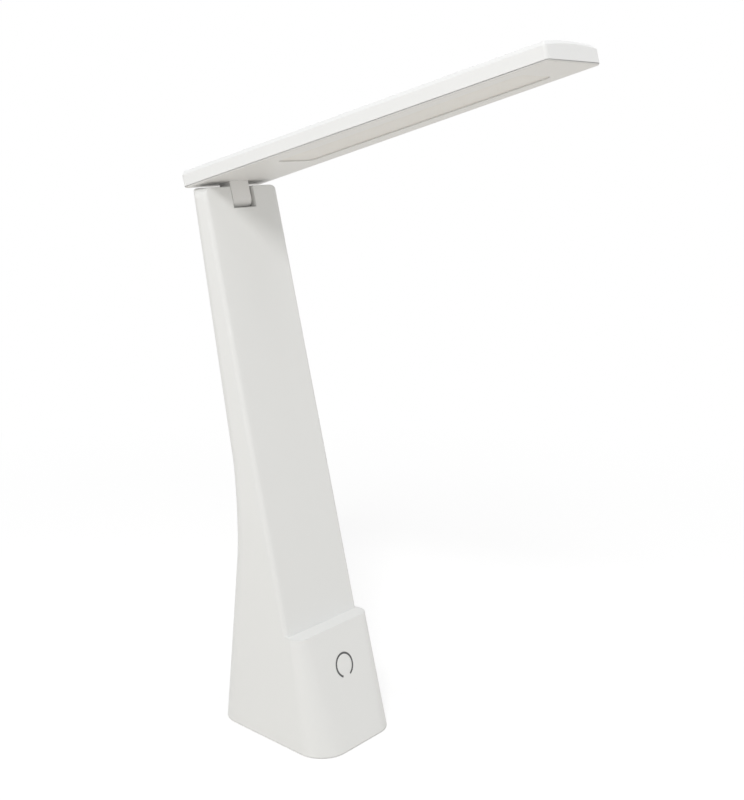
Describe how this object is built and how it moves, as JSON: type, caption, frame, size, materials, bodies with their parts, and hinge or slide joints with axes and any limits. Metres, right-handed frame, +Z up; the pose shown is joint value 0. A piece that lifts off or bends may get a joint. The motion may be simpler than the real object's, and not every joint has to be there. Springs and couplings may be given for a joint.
{
  "type": "desk lamp",
  "caption": "White folding desk lamp: a leaning column grown out of a wedge base with a touch ring, and a long flat light bar that folds down on a friction hinge.",
  "frame": {"origin": "centre of the underside of the anti-slip pad, on the table", "axes": "+Z up, the lamp faces -Y, +X is to the right seen from the front"},
  "size_m": [0.0566, 0.1987, 0.3302],
  "materials": {
    "housing_white": "fine satin moulding",
    "cover_white": "fine satin moulding",
    "head_white": "fine satin moulding",
    "underside_white": "fine satin moulding",
    "diffuser_milky": "milky translucent sheet",
    "ring_grey": "printed inlay",
    "pad_rubber": "fine ribbed rubber",
    "plate_plastic": "plain moulding",
    "screw_steel": "plated steel",
    "ballast_steel": "pressed steel",
    "cell_can": "wrapped can",
    "cradle_plastic": "plain moulding",
    "board_green": "solder mask",
    "socket_steel": "drawn steel",
    "electrode_copper": "copper foil",
    "lead_jacket": "soft jacket",
    "pin_steel": "ground steel",
    "washer_nylon": "nylon",
    "clip_steel": "spring steel",
    "led_board_white": "white solder mask",
    "led_yellow": "phosphor cast"
  },
  "bodies": {
    "base": {"column_housing": "housing_white", "rear_cover": "cover_white", "base_plate": "plate_plastic", "base_screws": "screw_steel", "anti_slip_pad": "pad_rubber", "ballast_weight": "ballast_steel", "battery_cradle": "cradle_plastic", "battery_cell": "cell_can", "control_board": "board_green", "board_screws": "screw_steel", "charging_socket": "socket_steel", "touch_electrode": "electrode_copper", "touch_ring": "ring_grey", "column_lead": "lead_jacket", "hinge_washers": "washer_nylon", "friction_clips": "clip_steel", "clip_screws": "screw_steel"},
    "head": {"head_top_shell": "head_white", "head_lower_frame": "underside_white", "diffuser": "diffuser_milky", "led_board": "led_board_white", "led_chips": "led_yellow", "led_board_screws": "screw_steel", "hinge_pin": "pin_steel"}
  },
  "joints": [
    {"name": "head_fold", "type": "hinge", "parent": "base", "child": "head", "pos_m": [0, 0.03966, 0.263], "axis": [1, 0, 0], "range_deg": [0, 91.5]}
  ]
}
